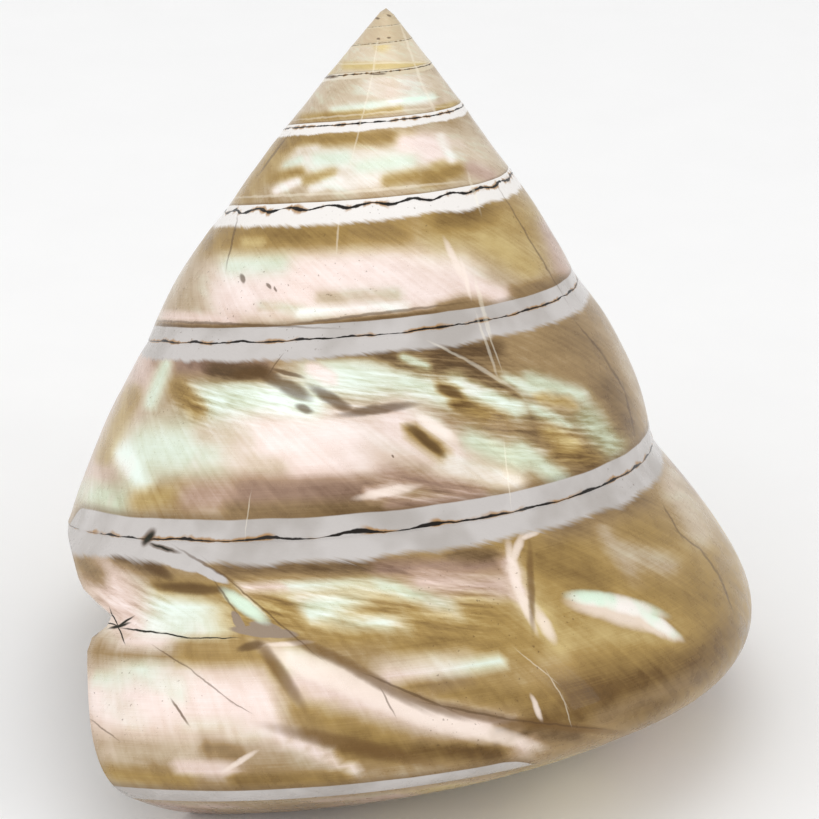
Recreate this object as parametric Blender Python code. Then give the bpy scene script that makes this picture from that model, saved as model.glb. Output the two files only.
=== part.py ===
"""A polished top shell that grew as one piece: flat whorls wound into a cone, the last one hollow.

The wall is one sheet that follows a spiral. A turn number says how far the shell has grown, and a
second number runs across the whorl, from the suture down to the keel and on over the base. The
spiral is worked out with the tip at the origin and the winding axis straight down, and then the
shell is leaned over until it rests on its base.
"""
import math

import bmesh
import bpy
import numpy as np

# The spiral: the suture's radius and depth below the tip, at a given turn
FULL_RADIUS = 0.0676
GROWTH_PER_TURN = 1.833
HALF_GROWN_TURN = 5.925
TIP_SLOPE = 1.213
SLOPE_GAIN = 0.406
GAIN_RADIUS = 0.0375
GAIN_POWER = 2.227
LIP_DROP = 0.0012
LIP_DROP_FROM_TURN = 7.12
LIP_DROP_TO_TURN = 7.38

# Where the whorls start and end, counted in turns
FIRST_TURN = 0.0
LIP_TURN = 6.5
HOLLOW_TURNS = 1.4
CLOSING_TURNS = 0.4
CLOSING_SHARE = 0.45
ROOF_FIRST_SHARE = 0.15
TIP_DEPTH = 0.0005

# How finely the sheet is divided
COLUMNS_PER_TURN = 40
LIP_LEAN_COLUMNS = 6
LIP_LEAN_RATE = 3.4
LIP_LEAN_TURNS = 0.5
BASE_LEAN_TURNS = 0.12
SIDE_ROWS = 5
BASE_ROWS = 5
PIT_ROWS = 3

# The whorl's outline, angles in degrees
BULGE_TURNS = (3.0, 4.0, 5.0, 6.0)
BULGE_ANGLES = (-2.0, 6.0, 17.5, -4.0)
ROUND_KEEL_ANGLE = 81.0
ROUND_KEEL_FROM_TURN = 5.45
ROUND_KEEL_TO_TURN = 6.0
SUTURE_HANDLE = 0.13
KEEL_HANDLE = 0.46
COVERED_BASE_HANDLE = 0.30
FREE_BASE_HANDLE = 0.62
BASE_END_HANDLE = 0.35
BASE_FALL = -0.10
COLUMELLA_SHARE = 0.28
PIT_RIM_SHARE = 0.19
PIT_DEPTH = 0.0735
PIT_WALL_HANDLE = (0.8, 0.45)

# The wall and the lip
WALL_SHARE = 0.078
WALL_SAMPLE_ROWS = 0.05
LIP_WALL_SHARE = 0.5
LIP_THINNING_TURNS = 0.06
LIP_ROUNDING = 0.0012
LIP_END_ROUNDING = 0.0024
NOTCH_TURNS = 0.02
NOTCH_HEIGHT = 0.35
NOTCH_WIDTH = 0.055
NOTCH_FADE_TURNS = 0.12

# How the shell stands: it leans back, degrees, until its base rests, where it is worn flat
REST_LEAN = 16.6
REST_LEAN_AZIMUTH = 267.0
WORN_DEPTH = 0.001
CUT_TOLERANCE = 1e-6


def smooth_step(value, low, high):
    """Rises from 0 at low to 1 at high, level at both ends."""
    share = np.clip((value - low) / (high - low), 0.0, 1.0)
    return share * share * (3.0 - 2.0 * share)


def suture_point(turn):
    """Radius and depth of the suture at a turn: growth slows down like a logistic curve.

    The keel, which is the next suture to come, drops a little more towards the lip.
    """
    radius = FULL_RADIUS / (1.0 + GROWTH_PER_TURN ** (HALF_GROWN_TURN - turn))
    depth = radius * (TIP_SLOPE + SLOPE_GAIN * (radius / GAIN_RADIUS) ** GAIN_POWER)
    drop = LIP_DROP * smooth_step(turn, LIP_DROP_FROM_TURN, LIP_DROP_TO_TURN)
    return np.stack([radius, depth + drop], axis=-1)


def turned(direction, degrees):
    """Turns plane directions towards the winding axis by an angle."""
    angle = np.radians(degrees)
    radial = direction[..., 0] * np.cos(angle) - direction[..., 1] * np.sin(angle)
    axial = direction[..., 0] * np.sin(angle) + direction[..., 1] * np.cos(angle)
    return np.stack([radial, axial], axis=-1)


def cubic(start, start_handle, end_handle, end, share):
    """Point of a cubic Bezier curve at a share of its run."""
    share = share[..., None]
    rest = 1.0 - share
    return (rest ** 3 * start + 3.0 * rest ** 2 * share * start_handle
            + 3.0 * rest * share ** 2 * end_handle + share ** 3 * end)


def side_chord(turn):
    """Suture, keel, and the length and direction of the line between them, at a turn."""
    suture = suture_point(turn)
    keel = suture_point(turn + 1.0)
    length = np.linalg.norm(keel - suture, axis=-1, keepdims=True)
    return suture, keel, length, (keel - suture) / length


def side_point(turn, share):
    """Point of a whorl's side, a cubic from the suture at share 0 to the keel at share 1.

    Under a suture the side ends as it began; where the keel is free, it turns in to meet the base.
    """
    suture, keel, length, chord = side_chord(turn)
    bulge = np.interp(turn, BULGE_TURNS, BULGE_ANGLES)
    rounding = smooth_step(turn, ROUND_KEEL_FROM_TURN, ROUND_KEEL_TO_TURN)
    arriving = turned(chord, bulge + (ROUND_KEEL_ANGLE - bulge) * rounding)
    return cubic(suture, suture + SUTURE_HANDLE * length * turned(chord, -bulge),
                 keel - KEEL_HANDLE * length * arriving, keel, share)


def base_point(turn, share):
    """Point of a whorl's base, a cubic from the keel at share 0 to the columella at share 1."""
    _, keel, _, chord = side_chord(turn)
    leaving = turned(chord, ROUND_KEEL_ANGLE)
    radius = keel[..., :1]
    free = smooth_step(turn, ROUND_KEEL_FROM_TURN, ROUND_KEEL_TO_TURN)[..., None]
    handle = COVERED_BASE_HANDLE + (FREE_BASE_HANDLE - COVERED_BASE_HANDLE) * free
    inner = np.concatenate([COLUMELLA_SHARE * radius, keel[..., 1:] + BASE_FALL * radius], axis=-1)
    inward = np.array([1.0, 0.0])
    return cubic(keel, keel + handle * radius * leaving,
                 inner + BASE_END_HANDLE * radius * inward, inner, share)


def pit_point(turn, share):
    """Point of the pit in the base: over its rim, then up to its end on the winding axis."""
    rim_start = base_point(turn, np.ones_like(turn))
    radius = rim_start[..., :1] / COLUMELLA_SHARE
    top = np.zeros_like(rim_start)
    top[..., 1] = PIT_DEPTH
    rim = np.concatenate([PIT_RIM_SHARE * radius, rim_start[..., 1:]], axis=-1)
    wall = top + (rim - top) * np.array(PIT_WALL_HANDLE)
    return cubic(rim_start, rim, wall, top, share)


def growth_turn(turn, row):
    """Turn of a sheet point: its growth line's turn, less the line's lean and the lip's notch.

    A growth line lags behind the suture as it goes down, evenly on the spire, and near the lip
    mostly just under the suture. It lags further on its way over the base.
    """
    down = np.minimum(row / SIDE_ROWS, 1.0)
    early = (1.0 - np.exp(-LIP_LEAN_RATE * down)) / (1.0 - math.exp(-LIP_LEAN_RATE))
    lag = down + (early - down) * smooth_step(turn, LIP_TURN - LIP_LEAN_TURNS, LIP_TURN)
    notch = NOTCH_TURNS * np.exp(-((row / SIDE_ROWS - NOTCH_HEIGHT) / NOTCH_WIDTH) ** 2)
    near_lip = smooth_step(turn, LIP_TURN - NOTCH_FADE_TURNS, LIP_TURN)
    across_base = smooth_step(row, SIDE_ROWS, SIDE_ROWS + BASE_ROWS + PIT_ROWS)
    lean = LIP_LEAN_COLUMNS / COLUMNS_PER_TURN * lag + BASE_LEAN_TURNS * across_base
    return turn - lean - notch * near_lip


def outer_point(turn, row):
    """Point of the outside at a growth line and a row, in the plane through the winding axis."""
    side = side_point(turn, np.minimum(row / SIDE_ROWS, 1.0))
    base_share = np.clip((row - SIDE_ROWS) / BASE_ROWS, 0.0, 1.0)
    base = base_point(turn, base_share)
    pit = pit_point(turn, np.clip((row - SIDE_ROWS - BASE_ROWS) / PIT_ROWS, 0.0, 1.0))
    point = np.where(row[..., None] > SIDE_ROWS, base, side)
    return np.where(row[..., None] > SIDE_ROWS + BASE_ROWS, pit, point)


def inner_point(turn, row, grown):
    """Point of the hollow's wall: the outside, set in by the wall, then up the columella."""
    floor_row = float(SIDE_ROWS + BASE_ROWS)
    step = WALL_SAMPLE_ROWS
    sheet_row = np.minimum(row, floor_row)
    here = outer_point(turn, sheet_row)
    ahead = outer_point(turn, np.minimum(sheet_row + step, floor_row))
    behind = outer_point(turn, sheet_row - np.where(sheet_row > step, step, 0.0))
    along = ahead - behind
    along /= np.linalg.norm(along, axis=-1, keepdims=True)
    near_lip = smooth_step(grown, LIP_TURN - LIP_THINNING_TURNS, LIP_TURN)
    share = WALL_SHARE * (1.0 - (1.0 - LIP_WALL_SHARE) * near_lip)
    wall = share[..., None] * suture_point(turn + 1.0)[..., :1]
    floor = here + wall * turned(along, 90.0)
    roof = base_point(turn - 1.0, np.ones_like(turn))
    climb = np.clip((row - floor_row) / PIT_ROWS, 0.0, 1.0)[..., None]
    point = floor + (roof - floor) * climb
    across = np.clip(row / (floor_row + PIT_ROWS), 0.0, 1.0)
    roof_share = ROOF_FIRST_SHARE + (1.0 - ROOF_FIRST_SHARE) * across
    closed_turn = LIP_TURN - HOLLOW_TURNS
    closing = CLOSING_SHARE * (1.0 - smooth_step(grown, closed_turn, closed_turn + CLOSING_TURNS))
    return point + (base_point(turn - 1.0, roof_share) - point) * closing[..., None]


def to_space(turn, point):
    """Carries plane points round the winding axis by their turn, clockwise seen from the tip."""
    angle = 2.0 * math.pi * turn
    radius = point[..., 0]
    return np.stack([radius * np.cos(angle), -radius * np.sin(angle), -point[..., 1]], axis=-1)


def numbered(columns, rows, start):
    """A grid of vertex numbers, counted on from start."""
    return np.arange(columns * rows).reshape(columns, rows) + start


def quads(grid):
    """The four corners of each cell of a grid of vertex numbers."""
    return np.stack([grid[:-1, :-1], grid[1:, :-1], grid[1:, 1:], grid[:-1, 1:]], axis=-1).reshape(-1, 4)


def fan(loop, centre):
    """Triangles from a closed loop of vertex numbers to one centre."""
    return [(loop[index], loop[(index + 1) % len(loop)], centre) for index in range(len(loop))]


def shell_surface():
    """Vertices and faces of the closed shell: outside, lip, and the hollow's wall, sewn together."""
    turn_columns = COLUMNS_PER_TURN
    wrap = turn_columns - LIP_LEAN_COLUMNS
    columns = round((LIP_TURN - FIRST_TURN) * turn_columns) + 1
    hollow_columns = round(HOLLOW_TURNS * turn_columns) + 1
    base_columns = hollow_columns + turn_columns
    foot_row = BASE_ROWS
    last_row = BASE_ROWS + PIT_ROWS
    inner_rows = SIDE_ROWS + last_row

    side = numbered(columns, SIDE_ROWS + 1, 0)
    base = numbered(base_columns, last_row + 1, side.size)
    inner = numbered(hollow_columns, inner_rows + 1, side.size + base.size)
    lip = numbered(inner_rows - 1, 1, side.size + base.size + inner.size)[:, 0]
    tip, pit_end, lip_heart, hollow_end = range(lip[-1] + 1, lip[-1] + 5)

    turns = np.linspace(FIRST_TURN, LIP_TURN, columns)
    rows = np.arange(inner_rows + 1.0)
    side_turn, side_row = np.meshgrid(turns, rows[:SIDE_ROWS + 1], indexing="ij")
    side_at = growth_turn(side_turn, side_row)
    side_space = to_space(side_at, outer_point(side_at, side_row))
    base_turn, base_row = np.meshgrid(turns[-base_columns:], rows[SIDE_ROWS:], indexing="ij")
    base_at = growth_turn(base_turn, base_row)
    base_space = to_space(base_at, outer_point(base_at, base_row))
    inner_turn, inner_row = np.meshgrid(turns[-hollow_columns:], rows, indexing="ij")
    inner_at = growth_turn(inner_turn, inner_row)
    inner_space = to_space(inner_at, inner_point(inner_at, inner_row, inner_turn))

    side[:columns - wrap, -1] = side[wrap:, 0]
    base[:, 0] = side[-base_columns:, -1]
    base[-turn_columns - 1:, -1] = pit_end
    inner[:, 0] = base[LIP_LEAN_COLUMNS:LIP_LEAN_COLUMNS + hollow_columns, 1]
    inner[:, -1] = base[:hollow_columns, foot_row]

    outer_edge = np.concatenate([side_space[-1], base_space[-1, 1:]])[1:inner_rows]
    inner_edge = inner_space[-1, 1:inner_rows]
    behind_edge = np.concatenate([side_space[-2], base_space[-2, 1:]])[1:inner_rows]
    onward = outer_edge - behind_edge
    onward /= np.linalg.norm(onward, axis=-1, keepdims=True)
    lip_space = (outer_edge + inner_edge) / 2.0 + LIP_ROUNDING * onward

    space = np.concatenate([side_space.reshape(-1, 3), base_space.reshape(-1, 3),
                            inner_space.reshape(-1, 3), lip_space, np.zeros((4, 3))])
    space[tip] = (0.0, 0.0, -TIP_DEPTH)
    space[pit_end] = (0.0, 0.0, -PIT_DEPTH)

    free_column = hollow_columns - 1
    covered = free_column + LIP_LEAN_COLUMNS
    faces = [tuple(face) for face in quads(side)]
    faces += [tuple(face) for face in quads(base[covered:, :2])]
    faces += [tuple(face) for face in quads(base[:, 1:foot_row + 1])]
    faces += [tuple(face) for face in quads(base[free_column:, foot_row:])]
    faces += [tuple(face) for face in quads(inner)]

    outer_line = np.concatenate([side[-1], base[-1, 1:]])
    inner_line = inner[-1]
    for line in (outer_line, inner_line):
        faces += [(line[row], line[row + 1], lip[row], lip[row - 1]) for row in range(1, inner_rows - 1)]
        faces.append((line[0], line[1], lip[0]))
    faces.append((outer_line[0], inner_line[0], lip[0]))

    heart_loop = [lip[inner_rows - 2], inner_line[inner_rows - 1]]
    heart_loop += list(base[free_column, foot_row:])
    heart_loop.append(outer_line[inner_rows - 1])
    faces += fan(heart_loop, lip_heart)
    space[lip_heart] = space[heart_loop].mean(axis=0) + LIP_END_ROUNDING * onward[-1]

    hollow_loop = list(inner[0]) + list(base[0, 1:foot_row][::-1])
    hollow_loop += list(base[1:LIP_LEAN_COLUMNS, 1])
    faces += fan(hollow_loop, hollow_end)
    space[hollow_end] = space[hollow_loop].mean(axis=0)

    tip_loop = list(side[:wrap + 1, 0]) + list(side[0, 1:-1][::-1])
    faces += fan(tip_loop, tip)
    return space, faces


def rested(space):
    """Leans the shell over, sinks it by the worn depth below the ground, and centres it."""
    azimuth = np.radians(REST_LEAN_AZIMUTH)
    lean = np.radians(REST_LEAN)
    towards = np.array([math.cos(azimuth), -math.sin(azimuth), 0.0])
    up = np.array([0.0, 0.0, 1.0])
    across = np.cross(up, towards)
    leaned = (np.outer(space @ across, across)
              + np.outer(space @ towards, math.cos(lean) * towards - math.sin(lean) * up)
              + np.outer(space @ up, math.sin(lean) * towards + math.cos(lean) * up))
    leaned[:, 2] -= leaned[:, 2].min() + WORN_DEPTH
    leaned[:, :2] -= (leaned[:, :2].min(axis=0) + leaned[:, :2].max(axis=0)) / 2.0
    return leaned


def nacre():
    """Polished nacre, warm tan with a soft metallic gloss."""
    material = bpy.data.materials.new("nacre")
    material.use_nodes = True
    shader = material.node_tree.nodes["Principled BSDF"]
    shader.inputs["Base Color"].default_value = (0.42, 0.33, 0.23, 1.0)
    shader.inputs["Roughness"].default_value = 0.22
    shader.inputs["Metallic"].default_value = 0.35
    return material


def wear_flats(body):
    """Takes off what is below the ground, which leaves a small flat at each point of contact."""
    whole = body.verts[:] + body.edges[:] + body.faces[:]
    bmesh.ops.bisect_plane(body, geom=whole, plane_co=(0.0, 0.0, 0.0), plane_no=(0.0, 0.0, 1.0),
                           dist=CUT_TOLERANCE, clear_inner=True)
    rims = [edge for edge in body.edges if edge.is_boundary]
    bmesh.ops.holes_fill(body, edges=rims)


def make_shell():
    """The shell as one closed object with its faces pointing out."""
    space, faces = shell_surface()
    used = np.unique(np.concatenate([np.array(face) for face in faces]))
    order = np.full(len(space), -1)
    order[used] = np.arange(len(used))
    mesh = bpy.data.meshes.new("shell")
    corners = [order[list(face)].tolist() for face in faces]
    mesh.from_pydata(rested(space[used]).tolist(), [], corners)
    body = bmesh.new()
    body.from_mesh(mesh)
    bmesh.ops.triangulate(body, faces=body.faces)
    wear_flats(body)
    bmesh.ops.triangulate(body, faces=body.faces)
    bmesh.ops.recalc_face_normals(body, faces=body.faces)
    body.to_mesh(mesh)
    body.free()
    mesh.shade_smooth()
    mesh.materials.append(nacre())
    shell = bpy.data.objects.new("shell", mesh)
    bpy.context.scene.collection.objects.link(shell)
    return shell


for leftover in list(bpy.data.objects):
    bpy.data.objects.remove(leftover, do_unlink=True)

make_shell()
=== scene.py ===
import math

import bmesh
import bpy
import numpy as np
from mathutils import Matrix, Vector


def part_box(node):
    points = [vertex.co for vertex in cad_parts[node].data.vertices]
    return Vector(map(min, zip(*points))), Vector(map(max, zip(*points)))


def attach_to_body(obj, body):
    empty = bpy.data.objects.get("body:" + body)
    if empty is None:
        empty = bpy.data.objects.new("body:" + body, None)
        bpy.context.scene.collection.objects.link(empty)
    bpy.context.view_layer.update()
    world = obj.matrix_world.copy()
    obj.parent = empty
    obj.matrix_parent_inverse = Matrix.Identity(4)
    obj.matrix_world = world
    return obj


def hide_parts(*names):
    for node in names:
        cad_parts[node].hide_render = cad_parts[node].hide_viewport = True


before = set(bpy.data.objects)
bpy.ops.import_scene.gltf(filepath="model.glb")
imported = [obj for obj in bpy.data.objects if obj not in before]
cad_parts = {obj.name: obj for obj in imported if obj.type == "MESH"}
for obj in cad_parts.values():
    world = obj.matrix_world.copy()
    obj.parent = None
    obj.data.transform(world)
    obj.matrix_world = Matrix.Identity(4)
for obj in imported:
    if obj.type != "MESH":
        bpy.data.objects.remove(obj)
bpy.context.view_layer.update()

# A polished top shell on a pale studio floor. The shell is one sheet that follows a spiral: a turn
# number says how far it has grown, and a row number runs across the whorl, 0 at the suture, 5 at the
# keel, 10 at the foot of the columella and 13 at the end of the pit in the base. The spiral has the
# tip at the origin and the winding axis straight down, and is then leaned over as the CAD shell is.

SHELL_LOW, SHELL_HIGH = (np.array(corner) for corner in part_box("shell"))

# The spiral: the suture's radius and depth below the tip, at a given turn
FULL_RADIUS = 0.0676
GROWTH_PER_TURN = 1.833
HALF_GROWN_TURN = 5.925
TIP_SLOPE = 1.213
SLOPE_GAIN = 0.406
GAIN_RADIUS = 0.0375
GAIN_POWER = 2.227
LIP_DROP = 0.0012
LIP_DROP_FROM_TURN = 7.12
LIP_DROP_TO_TURN = 7.38

# Where the whorls start and end, counted in turns
FIRST_TURN = -1.5
LIP_TURN = 6.5
HOLLOW_TURNS = 1.4
CLOSING_TURNS = 0.4
CLOSING_SHARE = 0.45
ROOF_FIRST_SHARE = 0.15
TIP_DEPTH = 0.0004

# The rows where the side, the base and the pit end, and where the hollow meets the whorl above
SIDE_END = 5.0
BASE_END = 10.0
PIT_END = 13.0
ATTACH_ROW = 6.0

# How finely the sheet is divided
COLUMNS_PER_TURN = 200
LEAN_COLUMNS = 30
SIDE_LINES = 40
ATTACH_LINES = 5
BASE_LINES = 16
EDGE_CROWDING = 0.6

# The growth lines' lean, in turns
LIP_LEAN_RATE = 3.4
LIP_LEAN_TURNS = 0.5
BASE_LEAN_TURNS = 0.12

# The whorl's outline, angles in degrees
BULGE_TURNS = (3.0, 4.0, 5.0, 6.0)
BULGE_ANGLES = (-2.0, 6.0, 17.5, -4.0)
ROUND_KEEL_ANGLE = 81.0
ROUND_KEEL_FROM_TURN = 5.45
ROUND_KEEL_TO_TURN = 6.0
SUTURE_HANDLE = 0.13
KEEL_HANDLE = 0.46
COVERED_BASE_HANDLE = 0.30
FREE_BASE_HANDLE = 0.62
BASE_END_HANDLE = 0.35
BASE_FALL = -0.10
COLUMELLA_SHARE = 0.28
PIT_RIM_SHARE = 0.19
PIT_DEPTH = 0.0735
PIT_WALL_HANDLE = (0.8, 0.45)

# The wall and the lip
WALL_SHARE = 0.078
WALL_SAMPLE_ROWS = 0.05
LIP_WALL_SHARE = 0.5
LIP_THINNING_TURNS = 0.06
LIP_ROUNDING = 0.0006
LIP_END_ROUNDING = 0.0024
NOTCH_TURNS = 0.02
NOTCH_HEIGHT = 0.35
NOTCH_WIDTH = 0.055
NOTCH_FADE_TURNS = 0.12

# The lip's first line bends to meet the whorl above over this many rows
LIP_BEND_ROWS = 0.5

# The hand-polished relief, in metres, and its two crossing waves: each one's waves a turn, and its
# waves down the side
WAVE_HEIGHT = 0.00012
POLISH_WAVES = ((4.3, 0.9), (-1.1, 1.7))
GROOVE_DEPTH = 0.00018
GROOVE_WIDTH = 0.00045

# How the shell stands
REST_LEAN = 16.6
REST_LEAN_AZIMUTH = 267.0

# The last whorl's keel is free, and these fade out there: the groove, the band above the suture and
# the dark seam, each between two turns
GROOVE_END_TURNS = (5.5, 5.52)
BAND_END_TURNS = (5.45, 5.55)
SEAM_END_TURNS = (5.4, 5.55)

# The porcelain bands beside the suture: their widths as shares of the side, at a whorl's turn, and
# where the free keel's pale stripe begins
BAND_TURNS = (1.25, 2.25, 3.25, 4.25, 5.25, 6.25)
BAND_BELOW_SUTURE = (0.14, 0.16, 0.17, 0.235, 0.185, 0.145)
BAND_ABOVE_KEEL = (0.05, 0.055, 0.05, 0.08, 0.072, 0.085)
FREE_STRIPE_FROM_TURN = 6.12
FREE_STRIPE_TO_TURN = 6.20

# The camera, held by the shell's own spiral: its pitch and roll in degrees, its distance from the
# tip along the view, and how far the picture's centre is to the right of the tip and below it
CAMERA_PITCH = 9.187
CAMERA_ROLL = 0.986
CAMERA_DISTANCE = 0.375
CAMERA_RIGHT = 0.002916
CAMERA_DOWN = 0.050589
CAMERA_LENS = 131.87
SENSOR_WIDTH = 36.0
PICTURE_PIXELS = 819

# How much longer than its line a detail's ellipse is, apart from its width, how sharply a paint
# stroke's edge falls off, the reach beyond which it falls no further, and the tone where there is no stroke
STROKE_OVERLAP = 1.15
STROKE_EDGE = 2.5
STROKE_END = 4.0
UNPAINTED_TONE = 0.5

# The distance given where no border is near, in widths of its porcelain band
FAR_FROM_BORDER = 9.0

# The turn that faces the camera, and where the painted front fades out, as cosines from it
FRONT_TURN = 0.25
FRONT_FADE = (-0.12, 0.12)

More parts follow.
